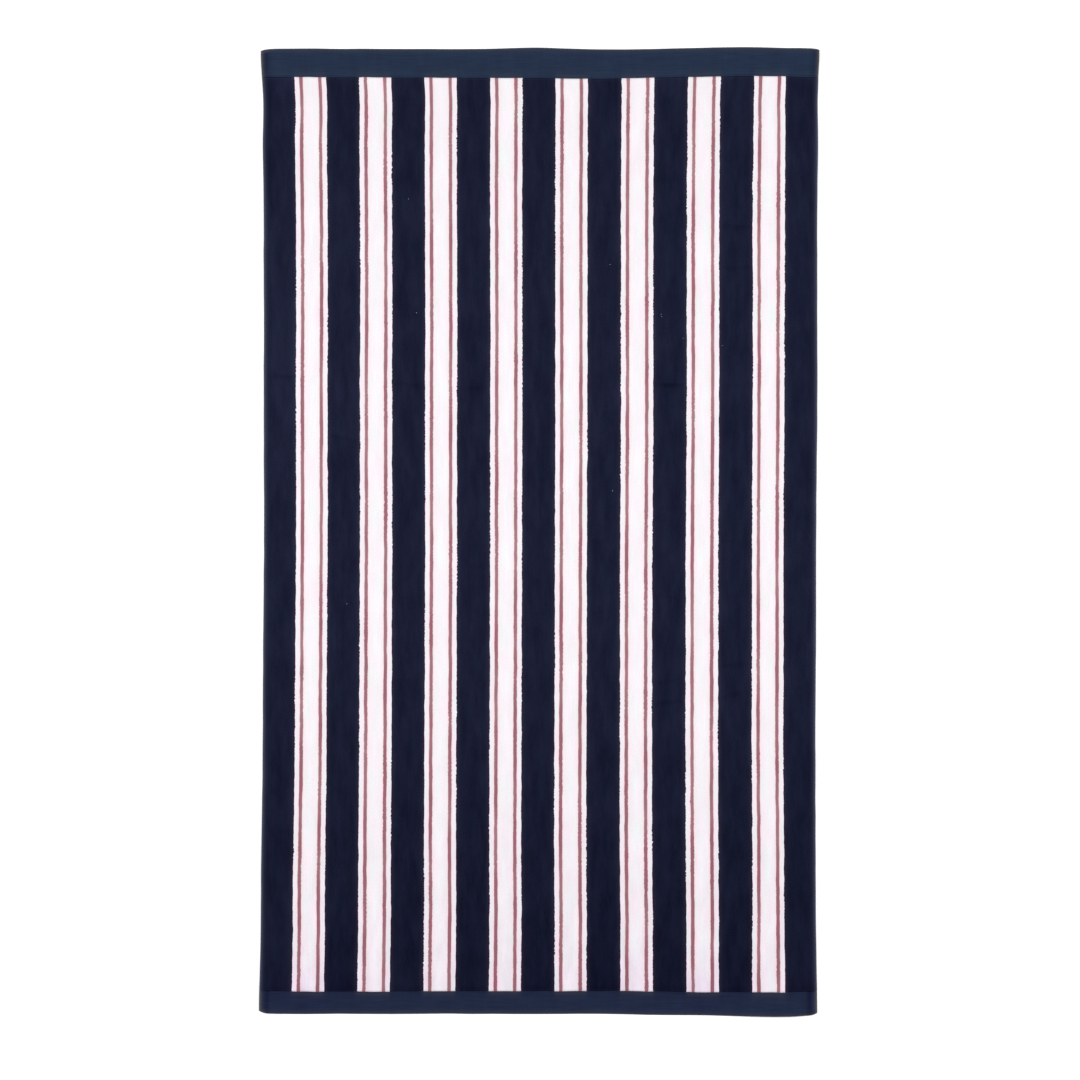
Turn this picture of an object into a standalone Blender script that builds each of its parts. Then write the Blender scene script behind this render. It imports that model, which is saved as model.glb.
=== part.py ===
"""A beach towel lying flat, face up: one woven cloth, so one solid.

A striped pile field lies between two flat woven headings, and a narrow hem is turned down each side.
Every place on the towel is worked out in the cloth's own flat coordinates, across (from the middle
towards the right hem) and along (from the middle towards the far heading).  lay_out() then lays the
cloth on the ground, where its edges wander a few millimetres, and lift() raises the places where an
edge or a corner doesn't quite touch.  Metres, +Z up, with the far heading towards +Y.
"""

from collections import namedtuple

import bmesh
import bpy
import numpy as np

MM = 0.001

# ---------------------------------------------------------------- driving dimensions
WIDTH = 1000 * MM  # from the fold of one side hem to the other
LENGTH = 1750 * MM  # from the fold of one end hem to the other
NEAR_HEADING = 42 * MM  # the flat woven bands, turned to the back at their outer edge
FAR_HEADING = 52 * MM

PILE_THICK = 3.6 * MM  # ground weave with sheared pile on the face and loops on the back
HEADING_THICK = 2.2 * MM  # flat weave, doubled by the end hem
PILE_STEP = 2 * MM  # length over which the pile falls to the heading

LIGHT_STRIPES = 8
STRIPE_PITCH = 118.5 * MM
LIGHT_STRIPE = 60 * MM
WHITE_MARGIN = 9.6 * MM  # from a light stripe's edge to its red line
RED_LINE = 5.8 * MM
STRIPE_DRIFT = -3.2 * MM  # how far the middle stripes lie off their even spacing

RIM = 1.2 * MM  # the rounded rim's reach in from the fold
CREASE_HALF_WIDTH = 4 * MM
ROW_SPACING = 75 * MM  # between rows of faces where the cloth is plain
END_SHIFT_REACH = 70 * MM  # an uneven end straightens out over this length
UNDERSIDE_RINGS = (RIM, 10 * MM, 25 * MM, 45 * MM, 75 * MM)  # inset of each ring of the underside

# ---------------------------------------------------------------- tables, in millimetres
# A hem's section: the height above (or below) the plain cloth at each distance in from its fold.
HemPoint = namedtuple("HemPoint", "inset rise")
SIDE_HEM = (
    HemPoint(inset=1.2, rise=-0.7),  # where the rounded rim begins
    HemPoint(inset=3.5, rise=0.8),  # crest of the turned roll
    HemPoint(inset=7.0, rise=0.6),
    HemPoint(inset=10.0, rise=-0.8),  # groove that the stitching pulls in
    HemPoint(inset=13.5, rise=0.0),
)
END_HEM = (
    HemPoint(inset=1.2, rise=-0.5),
    HemPoint(inset=3.0, rise=0.4),
    HemPoint(inset=7.0, rise=0.0),
)

# Where the side folds lie, outwards of half the width, at each place along the towel.
SideStation = namedtuple("SideStation", "along left right")
SIDES = (
    SideStation(along=-875, left=8.6, right=1.2),
    SideStation(along=-850, left=8.0, right=0.7),
    SideStation(along=-735, left=5.8, right=-0.5),
    SideStation(along=-560, left=4.0, right=-1.7),
    SideStation(along=-385, left=2.2, right=-2.0),
    SideStation(along=-170, left=1.1, right=-0.6),
    SideStation(along=5, left=-0.2, right=-0.4),
    SideStation(along=180, left=0.0, right=1.3),
    SideStation(along=440, left=0.2, right=1.6),
    SideStation(along=615, left=0.5, right=1.6),
    SideStation(along=700, left=2.2, right=2.9),
    SideStation(along=788, left=1.6, right=2.6),
    SideStation(along=832, left=3.6, right=4.0),
    SideStation(along=868, left=3.9, right=6.2),
    SideStation(along=875, left=3.6, right=6.0),
)

# Where the end folds lie, outwards of half the length, at each place across the towel.
EndStation = namedtuple("EndStation", "across near far")
ENDS = (
    EndStation(across=-500, near=-4.6, far=-4.4),
    EndStation(across=-495, near=-3.2, far=-3.2),
    EndStation(across=-480, near=-2.0, far=-1.5),
    EndStation(across=-455, near=-1.8, far=-0.7),
    EndStation(across=-350, near=-2.0, far=-1.3),
    EndStation(across=-177, near=-2.5, far=-2.4),
    EndStation(across=-15, near=-1.6, far=0.5),
    EndStation(across=113, near=-1.4, far=-2.5),
    EndStation(across=205, near=0.1, far=-1.4),
    EndStation(across=294, near=0.9, far=0.5),
    EndStation(across=390, near=2.9, far=2.0),
    EndStation(across=440, near=3.6, far=1.1),
    EndStation(across=475, near=2.5, far=0.2),
    EndStation(across=495, near=-0.4, far=-0.7),
    EndStation(across=500, near=-3.0, far=-2.2),
)

# Creases left by storage.  Each wanders across the towel, deep here and nearly gone there.
CreasePoint = namedtuple("CreasePoint", "across along depth")
CREASES = {
    "lower_third_near": (
        CreasePoint(across=-500, along=-318, depth=0.1),
        CreasePoint(across=-120, along=-314, depth=0.3),
        CreasePoint(across=120, along=-309, depth=0.2),
        CreasePoint(across=232, along=-308, depth=1.2),
        CreasePoint(across=290, along=-304, depth=0.3),
        CreasePoint(across=353, along=-294, depth=0.9),
        CreasePoint(across=500, along=-290, depth=0.2),
    ),
    "lower_third_far": (
        CreasePoint(across=-500, along=-262, depth=0.2),
        CreasePoint(across=-250, along=-268, depth=0.4),
        CreasePoint(across=60, along=-274, depth=0.2),
        CreasePoint(across=232, along=-272, depth=0.9),
        CreasePoint(across=292, along=-257, depth=0.2),
        CreasePoint(across=355, along=-241, depth=0.9),
        CreasePoint(across=500, along=-240, depth=0.2),
    ),
    "below_middle": (
        CreasePoint(across=-500, along=-112, depth=0.1),
        CreasePoint(across=120, along=-118, depth=0.2),
        CreasePoint(across=232, along=-116, depth=0.6),
        CreasePoint(across=345, along=-116, depth=0.5),
        CreasePoint(across=500, along=-110, depth=0.1),
    ),
    "middle": (
        CreasePoint(across=-500, along=-6, depth=0.1),
        CreasePoint(across=112, along=-16, depth=0.5),
        CreasePoint(across=230, along=-12, depth=0.2),
        CreasePoint(across=345, along=-16, depth=0.5),
        CreasePoint(across=500, along=-18, depth=0.1),
    ),
    "above_middle": (
        CreasePoint(across=-500, along=180, depth=0.2),
        CreasePoint(across=-380, along=174, depth=0.9),
        CreasePoint(across=-328, along=164, depth=1.1),
        CreasePoint(across=-200, along=160, depth=0.2),
        CreasePoint(across=500, along=150, depth=0.1),
    ),
    "upper_third": (
        CreasePoint(across=-500, along=286, depth=0.4),
        CreasePoint(across=-455, along=283, depth=0.8),
        CreasePoint(across=-350, along=273, depth=0.3),
        CreasePoint(across=-238, along=266, depth=0.8),
        CreasePoint(across=-119, along=261, depth=0.7),
        CreasePoint(across=20, along=262, depth=0.3),
        CreasePoint(across=236, along=265, depth=1.2),
        CreasePoint(across=348, along=265, depth=0.8),
        CreasePoint(across=500, along=262, depth=0.2),
    ),
    "far_quarter": (
        CreasePoint(across=-500, along=575, depth=0.1),
        CreasePoint(across=0, along=572, depth=0.2),
        CreasePoint(across=118, along=568, depth=0.5),
        CreasePoint(across=240, along=560, depth=0.2),
        CreasePoint(across=348, along=554, depth=0.5),
        CreasePoint(across=500, along=550, depth=0.1),
    ),
}

# Places where the cloth is a little off the ground, each a soft swelling about its own centre.
LiftedPlace = namedtuple("LiftedPlace", "across along reach_across reach_along height")
LIFTS = (
    LiftedPlace(across=-508, along=-870, reach_across=70, reach_along=110, height=4.0),
    LiftedPlace(across=-505, along=-600, reach_across=45, reach_along=150, height=2.4),
    LiftedPlace(across=-500, along=-250, reach_across=40, reach_along=120, height=1.8),
    LiftedPlace(across=-500, along=130, reach_across=38, reach_along=160, height=1.4),
    LiftedPlace(across=-500, along=500, reach_across=45, reach_along=130, height=2.4),
    LiftedPlace(across=-505, along=865, reach_across=70, reach_along=85, height=4.2),
    LiftedPlace(across=-200, along=-880, reach_across=130, reach_along=40, height=1.6),
    LiftedPlace(across=425, along=-885, reach_across=130, reach_along=60, height=4.6),
    LiftedPlace(across=500, along=-400, reach_across=42, reach_along=190, height=2.0),
    LiftedPlace(across=502, along=240, reach_across=45, reach_along=140, height=2.2),
    LiftedPlace(across=503, along=655, reach_across=62, reach_along=115, height=3.6),
    LiftedPlace(across=507, along=872, reach_across=66, reach_along=60, height=5.0),
    LiftedPlace(across=-10, along=882, reach_across=150, reach_along=42, height=2.2),
    LiftedPlace(across=385, along=882, reach_across=80, reach_along=42, height=2.4),
)

Finish = namedtuple("Finish", "colour roughness")  # linear colour
FINISHES = {
    "navy_pile": Finish(colour=(0.011, 0.014, 0.034), roughness=0.95),
    "white_pile": Finish(colour=(0.93, 0.90, 0.94), roughness=0.95),
    "red_pile": Finish(colour=(0.37, 0.17, 0.21), roughness=0.95),
    "navy_heading": Finish(colour=(0.021, 0.033, 0.067), roughness=0.8),
}
SLOTS = {name: number for number, name in enumerate(FINISHES)}


# ---------------------------------------------------------------- reading the tables
def curve(table, key, value, at):
    """A smooth curve through one column of a table, read at the places given, in metres."""
    stations = np.array([getattr(row, key) for row in table]) * MM
    values = np.array([getattr(row, value) for row in table]) * MM
    slopes = np.gradient(values, stations)
    at = np.clip(at, stations[0], stations[-1])
    row = np.clip(np.searchsorted(stations, at) - 1, 0, len(table) - 2)
    span = stations[row + 1] - stations[row]
    t = (at - stations[row]) / span
    ease = t * t * (3 - 2 * t)
    bend = t * (1 - t) * span * ((1 - t) * slopes[row] - t * slopes[row + 1])
    return values[row] + ease * (values[row + 1] - values[row]) + bend


def hem_rise(table, inset):
    """Height that a hem adds at a distance in from its fold."""
    insets = [point.inset * MM for point in table]
    rises = [point.rise * MM for point in table]
    return np.interp(inset, insets, rises)


# ---------------------------------------------------------------- the cloth's form
def thickness(across, along):
    """Pile or heading, and what the turned hems add."""
    near_line = NEAR_HEADING - LENGTH / 2
    far_line = LENGTH / 2 - FAR_HEADING
    half_step = PILE_STEP / 2
    lines = [near_line - half_step, near_line + half_step, far_line - half_step, far_line + half_step]
    cloth = np.interp(along, lines, [HEADING_THICK, PILE_THICK, PILE_THICK, HEADING_THICK])
    sides = hem_rise(SIDE_HEM, WIDTH / 2 - np.abs(across))
    ends = hem_rise(END_HEM, LENGTH / 2 - np.abs(along))
    return cloth + sides + ends


def lift(across, along):
    """Height of the underside above the ground, exactly nought where the towel lies flat."""
    height = np.zeros(np.shape(across))
    for place in LIFTS:
        offset_across = (across - place.across * MM) / (place.reach_across * MM)
        offset_along = (along - place.along * MM) / (place.reach_along * MM)
        distance = np.minimum(np.hypot(offset_across, offset_along), 1.0)
        height += place.height * MM * np.cos(distance * np.pi / 2) ** 2 * (distance < 1.0)
    return height


def lay_out(across, along):
    """The cloth's flat coordinates taken to the ground, with its uneven edges and stripes."""
    share = across / WIDTH + 0.5
    left = -WIDTH / 2 - curve(SIDES, "along", "left", along)
    right = WIDTH / 2 + curve(SIDES, "along", "right", along)
    x = left + share * (right - left) + STRIPE_DRIFT * np.cos(np.pi * across / WIDTH)

    near_share = np.clip((END_SHIFT_REACH - LENGTH / 2 - along) / END_SHIFT_REACH, 0, 1)
    far_share = np.clip((along - LENGTH / 2 + END_SHIFT_REACH) / END_SHIFT_REACH, 0, 1)
    y = along - near_share * curve(ENDS, "across", "near", across)
    y = y + far_share * curve(ENDS, "across", "far", across)
    return x, y


# ---------------------------------------------------------------- lines of the mesh
def colour_bands():
    """The stripe boundaries from left to right, each with the colour that starts there."""
    bands = []
    for stripe in range(LIGHT_STRIPES):
        centre = (stripe - (LIGHT_STRIPES - 1) / 2) * STRIPE_PITCH
        left, right = centre - LIGHT_STRIPE / 2, centre + LIGHT_STRIPE / 2
        bands += [
            (left, "white_pile"),
            (left + WHITE_MARGIN, "red_pile"),
            (left + WHITE_MARGIN + RED_LINE, "white_pile"),
            (right - WHITE_MARGIN - RED_LINE, "red_pile"),
            (right - WHITE_MARGIN, "white_pile"),
            (right, "navy_pile"),
        ]
    return bands


def column_lines():
    """Across places of the mesh's columns, and the colour of the strip after each."""
    left_hem = [(point.inset * MM - WIDTH / 2, "navy_pile") for point in SIDE_HEM]
    right_hem = [(-place, colour) for place, colour in reversed(left_hem)]
    outer = (left_hem[-1][0] + colour_bands()[0][0]) / 2
    lines = left_hem + [(outer, "navy_pile")] + colour_bands() + [(-outer, "navy_pile")] + right_hem
    return np.array([place for place, _ in lines]), [colour for _, colour in lines]


def row_lines(across):
    """Along places of the mesh's rows at every column, and how deep a crease is there."""
    level = np.zeros(len(across))
    end = LENGTH / 2
    insets = [point.inset * MM for point in END_HEM]
    near_line, far_line = NEAR_HEADING - end, end - FAR_HEADING
    near = [inset - end for inset in insets] + [near_line - PILE_STEP / 2, near_line + PILE_STEP / 2]
    far = [far_line - PILE_STEP / 2, far_line + PILE_STEP / 2] + [end - inset for inset in insets[::-1]]

    guides = [(level + place, level) for place in near]
    for table in CREASES.values():
        path = curve(table, "across", "along", across)
        depth = curve(table, "across", "depth", across)
        guides += [(path - CREASE_HALF_WIDTH, level), (path, depth), (path + CREASE_HALF_WIDTH, level)]
    guides += [(level + place, level) for place in far]

    rows = [guides[0]]
    for (start, _), (stop, depth) in zip(guides, guides[1:]):
        steps = int(np.ceil((stop - start).mean() / ROW_SPACING))
        rows += [(start + (stop - start) * step / steps, level) for step in range(1, steps)]
        rows.append((stop, depth))
    return np.array([along for along, _ in rows]), np.array([depth for _, depth in rows])


# ---------------------------------------------------------------- the solid
def ring_around(grid):
    """A grid's outermost values, anticlockwise from its near left corner."""
    return np.concatenate([grid[0, :-1], grid[:-1, -1], grid[-1, :0:-1], grid[:0:-1, 0]])


def add_points(bm, across, along, height):
    x, y = lay_out(across, along)
    return [bm.verts.new(point) for point in zip(x.ravel(), y.ravel(), np.ravel(height))]


def add_face(bm, points, finish):
    face = bm.faces.new(points)
    face.material_index = SLOTS[finish]
    face.smooth = True


def build_towel():
    columns, colours = column_lines()
    along, crease = row_lines(columns)
    across = np.broadcast_to(columns, along.shape)
    rows, width = along.shape
    near_line, far_line = NEAR_HEADING - LENGTH / 2, LENGTH / 2 - FAR_HEADING
    bm = bmesh.new()

    def finish_at(column, place):
        """The colour of the strip after a column, or the heading's beyond the pile."""
        return colours[column] if near_line < place < far_line else "navy_heading"

    # The face of the towel.
    top = lift(across, along) + thickness(across, along) - crease
    face_points = np.array(add_points(bm, across, along, top), dtype=object).reshape(rows, width)
    for row in range(rows - 1):
        for column in range(width - 1):
            corners = [(row, column), (row, column + 1), (row + 1, column + 1), (row + 1, column)]
            middle = (along[row, column] + along[row + 1, column]) / 2
            add_face(bm, [face_points[corner] for corner in corners], finish_at(column, middle))

    # The rounded rim and the underside, ring after ring.
    edge_across, edge_along, edge_top = (ring_around(grid) for grid in (across, along, top))
    edge_column = ring_around(np.broadcast_to(np.arange(width), along.shape))
    outer = ring_around(face_points)
    for number, inset in enumerate((0.0,) + UNDERSIDE_RINGS):
        ring_across = edge_across * (WIDTH / 2 - inset) / (WIDTH / 2 - RIM)
        ring_along = edge_along * (LENGTH / 2 - inset) / (LENGTH / 2 - RIM)
        height = lift(ring_across, ring_along)
        if number == 0:
            height = (height + edge_top) / 2
        inner = np.array(add_points(bm, ring_across, ring_along, height), dtype=object)
        for spot in range(len(inner)):
            after = (spot + 1) % len(inner)
            column = min(edge_column[spot], edge_column[after])
            middle = (ring_along[spot] + ring_along[after]) / 2
            points = [outer[after], outer[spot], inner[spot], inner[after]]
            add_face(bm, points, finish_at(column, middle))
        outer = inner

    # The flat underside: a strip under each stripe, and a panel down each side.
    near = list(outer[:width])
    far = list(outer[width + rows - 2 : 2 * width + rows - 2][::-1])
    right_side = list(outer[width : width + rows - 2])
    left_side = list(outer[2 * width + rows - 2 :])
    for column in range(1, width - 2):
        add_face(bm, [near[column], far[column], far[column + 1], near[column + 1]], colours[column])
    add_face(bm, [near[1], near[0]] + left_side[::-1] + [far[0], far[1]], "navy_pile")
    add_face(bm, [near[-1], near[-2], far[-2], far[-1]] + right_side[::-1], "navy_pile")

    # The origin goes under the middle of the whole outline.
    points = np.array([vertex.co for vertex in bm.verts])
    middle = (points.min(axis=0) + points.max(axis=0)) / 2
    bmesh.ops.translate(bm, verts=bm.verts, vec=(-middle[0], -middle[1], 0.0))
    bmesh.ops.recalc_face_normals(bm, faces=bm.faces)

    mesh = bpy.data.meshes.new("towel")
    bm.to_mesh(mesh)
    bm.free()
    for name, finish in FINISHES.items():
        mesh.materials.append(make_material(name, finish))
    towel = bpy.data.objects.new("towel", mesh)
    bpy.context.scene.collection.objects.link(towel)


def make_material(name, finish):
    material = bpy.data.materials.new(name)
    material.use_nodes = True
    shader = material.node_tree.nodes["Principled BSDF"]
    shader.inputs["Base Color"].default_value = (*finish.colour, 1.0)
    shader.inputs["Roughness"].default_value = finish.roughness
    shader.inputs["Metallic"].default_value = 0.0
    material.diffuse_color = (*finish.colour, 1.0)
    return material


def clear_scene():
    for thing in list(bpy.data.objects):
        bpy.data.objects.remove(thing, do_unlink=True)


clear_scene()
build_towel()
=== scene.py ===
# %% [markdown]
# # A striped beach towel, lying flat
#
# A beach towel is one length of terry cloth. The loom makes loops of yarn on both sides of a thin ground
# weave; on this towel the loops of the face have been sheared off, which leaves a dense velour. The
# stripes are dyed into the yarn, so they run through the cloth from end to end. At each end the loom stops
# making loops and weaves a flat band, the heading, which is turned to the back and sewn as the end hem.
# The two long edges are turned and sewn as well.
#
# The lesson builds the cloth as one closed sheet, lays it on the ground with the small unevenness that
# real cloth has, sews its hems, and then gives it its finishes. It starts by importing the solid that the
# cloth stands in for.

# %% The imported solid
from collections import namedtuple

import bpy
import numpy as np
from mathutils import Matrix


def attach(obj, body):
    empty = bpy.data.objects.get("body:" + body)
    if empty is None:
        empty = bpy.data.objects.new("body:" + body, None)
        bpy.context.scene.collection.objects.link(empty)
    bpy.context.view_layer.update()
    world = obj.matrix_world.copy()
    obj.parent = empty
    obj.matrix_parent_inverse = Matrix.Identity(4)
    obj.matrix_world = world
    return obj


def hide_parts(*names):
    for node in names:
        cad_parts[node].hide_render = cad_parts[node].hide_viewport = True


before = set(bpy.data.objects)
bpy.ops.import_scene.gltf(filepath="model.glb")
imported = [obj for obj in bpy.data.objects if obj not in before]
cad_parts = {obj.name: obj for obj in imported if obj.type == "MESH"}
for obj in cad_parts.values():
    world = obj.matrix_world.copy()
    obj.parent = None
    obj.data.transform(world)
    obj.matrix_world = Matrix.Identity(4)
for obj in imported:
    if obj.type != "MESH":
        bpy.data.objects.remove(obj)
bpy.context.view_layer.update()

# %% [markdown]
# ## Sizes
#
# Everything is worked out from what a weaver and a hemmer would have on their sheet: the cut size, the
# depth of the headings, the thickness of the pile and the repeat of the stripes. Places on the towel are
# given in the cloth's own flat coordinates: across, from the middle towards the right hem, and along,
# from the middle towards the far heading. They stay with the cloth however it lies.

# %% Sizes of the cloth, metres
MM = 0.001
WIDTH = 1000 * MM
LENGTH = 1750 * MM
NEAR_HEADING = 42 * MM
FAR_HEADING = 53 * MM
NEAR_LINE = NEAR_HEADING - LENGTH / 2
FAR_LINE = LENGTH / 2 - FAR_HEADING

PILE_THICK = 3.6 * MM
HEADING_THICK = 2.2 * MM
THINNEST = 1.0 * MM  # two layers of ground weave pressed together
PILE_STEP = 2.4 * MM
RIM = 1.2 * MM

STRIPE_PITCH = 118.5 * MM
END_SHIFT_REACH = 70 * MM
print("cloth", WIDTH, "x", LENGTH, "m, pile field from", NEAR_LINE, "to", FAR_LINE)

# %% [markdown]
# ## Tables for the way it lies
#
# Nobody lays a towel out perfectly. Its sides draw in by a few millimetres, its corners flare and some
# edges stand a little off the ground. A short table holds each of these. Its first line names the columns,
# then comes a row for each place where something changes, and a smooth curve is drawn through the rows.
# This is easier to read and to mend than a list of corner points, and each row can be checked against the
# real thing with a ruler.
#
# A hem's section gives, at distances in from its fold, how much the face rises and the back is pulled up
# compared with plain cloth, how much paler the fold is painted, partly for wear and partly as a painted
# highlight where the rounded fold catches the light, and how much lighter or darker its navy is painted in
# the pile field and in the two headings, a painted highlight on its crest and painted shade in its grooves.
# On the back, the cloth turned in ends just past the stitching, and its edge shows there as a small step.


# %% Tables with named columns
def table(columns, *rows):
    """The names of the columns, and a row of numbers for each place or point."""
    row_type = namedtuple("Row", columns)
    return [row_type(*row) for row in rows]


# %% Hems and end seams, millimetres
SIDE_HEM = table(
    "inset rise under wear pile_lay near_lay far_lay",
    (0, -1, 0, 3.30, 0, 0, 0),
    (1.6, 0.1, 0, 2.70, 0, 0.2, -0.2),
    (2.7, 0.6, 0, 1.95, 0, 0.3, -0.4),
    (3.9, 0.9, 0, 1.05, 0.04, 0.3, -0.4),
    (5.8, 0.7, 0, 0.40, 0.12, 0.1, -0.35),
    (7.6, 0.1, 0.1, 0.13, 0.11, -0.05, -0.3),
    (9.8, -0.6, 0.4, 0.03, -0.02, -0.25, -0.3),
    (10.6, -0.5, 0.2, 0, -0.01, -0.32, -0.28),
    (11.8, -0.2, 1, 0, 0, -0.48, -0.2),
    (14, 0.1, 0.8, 0, 0, -0.62, -0.15),
    (19, 0, 0.3, 0, 0, -0.1, 0),
    (26, 0, 0, 0, 0, 0, 0),
)
END_HEM = table(
    "inset rise wear",
    (0, -0.8, 2.40),
    (1.3, 0, 1.70),
    (2.8, 0.3, 0.52),
    (4.5, 0.4, 0.37),
    (8, 0.2, 0.14),
    (13, 0, 0),
)

# Beside the ends of the pile, the headings are painted darker and lighter: painted shade and highlight.
END_SEAM = table(
    "outside rise under near_lay far_lay",
    (-6, 0, 0, 0, 0),
    (-3, 0, 0, -0.12, 0.08),
    (-1, 0, 0.3, 0.05, 0.45),
    (0.6, 0, 0.9, -0.16, -0.25),
    (1.5, -0.05, 0.9, -0.18, 0),
    (3, -0.2, 0.15, -0.20, 0.08),
    (4.2, -0.4, 0.35, -0.20, 0.06),
    (7, 0.1, 0, -0.16, 0.15),
    (18, 0, 0, 0, 0),
)
SIDE_STITCHES = 9.8 * MM  # in from the fold
HEM_EDGE = 11.2 * MM  # where the turned cloth ends on the back
END_STITCHES = 4.2 * MM  # outside the pile
RIM_BACK = 8 * MM  # how far in from the rim the back is held down
print("side hem", SIDE_HEM[-1].inset, "mm, end hem", END_HEM[-1].inset, "mm deep")

# %% Ends of the pile, millimetres
# They are not quite straight: at each place the pile stops this much short of its line.
PILE_STOPS = table(
    "across near far",
    (-500, 1.2, 0), (-450, 1, 0.2), (-400, 0.5, 0.8), (-300, 0.8, 0.9),
    (-180, 1.2, 1.7), (-60, 1.7, 2.1), (0, 1.6, 2.6), (60, 1.7, 3.3),
    (115, 1.6, 3.2), (180, 1.8, 1.8), (240, 1.3, 0.4), (300, 0.4, 0.5),
    (360, 0.8, -0.9), (415, 1.2, -0.8), (470, 1.1, 0.1), (500, 1, 0.3),
)
print("pile ends at", len(PILE_STOPS), "places")

# %% Edges of the towel, millimetres outwards of its cut size
SIDES = table(
    "along left right",
    (-875, 8.9, 1.8), (-850, 8.8, 1.8), (-815, 8, 1.3), (-735, 6.2, 0.1),
    (-560, 4.4, -1.3), (-385, 2.4, -1.6), (-170, 1.3, -0.1), (5, 0, 0.1),
    (180, 0.5, 1.8), (440, 0.7, 2.1), (615, 1.2, 2.1), (700, 2.4, 3.4),
    (788, 1.8, 3.2), (832, 3.8, 4.4), (868, 5.2, 5.5), (875, 5.2, 5.4),
)

ENDS = table(
    "across near far",
    (-500, -7.6, -5.4), (-495, -4.9, -3.7), (-489, -2.7, -2.3), (-480, -1.8, -1.4),
    (-455, -1, -0.5), (-350, -1.2, -1), (-280, -0.9, -0.8), (-177, -1.6, -1.3),
    (-104, -1.1, -1.2), (-15, -0.8, 0.8), (113, -0.9, -1.8), (205, 0.8, -0.8),
    (294, 1.6, 1.3), (390, 3.6, 1.7), (440, 3.6, 0.7), (475, 2.6, 0.1),
    (495, -0.3, -1.9), (500, -3, -3.4),
)
print(len(SIDES), "side stations and", len(ENDS), "end stations")

# %% Stripes, millimetres to the right of an even spacing and a straight run
# The loom and the wash shift each stripe a little, most stripes wander together, and some sway in places.
STRIPE_DRIFT = table(
    "across shift",
    (-500, 0), (-450, 2.1), (-380, 0.9), (-326, -0.4), (-266, -0.3),
    (-178, -1.2), (-59, -1.9), (59, -3.1), (178, -2.8), (296, -2.4),
    (380, -1.6), (450, -2.8), (500, 0),
)
STRIPE_RUN = table(
    "along shift",
    (-875, 1.5), (-640, 1.6), (-490, 0.9), (-270, 0.4),
    (-50, -0.3), (600, -0.3), (875, 0.1),
)
RUN_PLACES = (-420 * MM, -300 * MM, 440 * MM, 500 * MM)  # across the towel, where the run has these shares:
RUN_SHARES = (0, 1, 1, 0)
SWAYS = table(
    "across along reach_across reach_along shift",
    (-300, 820, 170, 60, -0.9),
    (-380, 500, 130, 270, 0.8),
    (-415, -645, 80, 75, -1.1),
    (230, -200, 130, 190, -0.9),
    (280, 820, 130, 60, 1.1),
    (415, -540, 70, 160, 0.9),
    (387, 560, 22, 130, -0.7),
    (445, 560, 22, 130, 1),
    (387, -790, 22, 90, -0.9),
    (445, -790, 22, 90, 0.7),
    (357, -820, 90, 60, -1.3),
)
print(len(STRIPE_DRIFT), "places across,", len(STRIPE_RUN), "along, and", len(SWAYS), "sways")

# %% Places that stand off the ground, millimetres
LIFTS = table(
    "across along reach_across reach_along height",
    (-508, -870, 70, 110, 4),
    (-505, -600, 45, 150, 2.4),
    (-500, -250, 40, 120, 1.8),
    (-500, 130, 38, 160, 1.4),
    (-500, 500, 45, 130, 2.4),
    (-505, 865, 70, 85, 4.2),
    (-200, -880, 130, 40, 1.6),
    (425, -885, 130, 60, 4.6),
    (500, -400, 42, 190, 2),
    (502, 240, 45, 140, 2.2),
    (503, 655, 62, 115, 3.6),
    (507, 872, 66, 60, 5),
    (-10, 882, 150, 42, 2.2),
    (385, 882, 80, 42, 2.4),
)
print(len(LIFTS), "lifted places")
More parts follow.
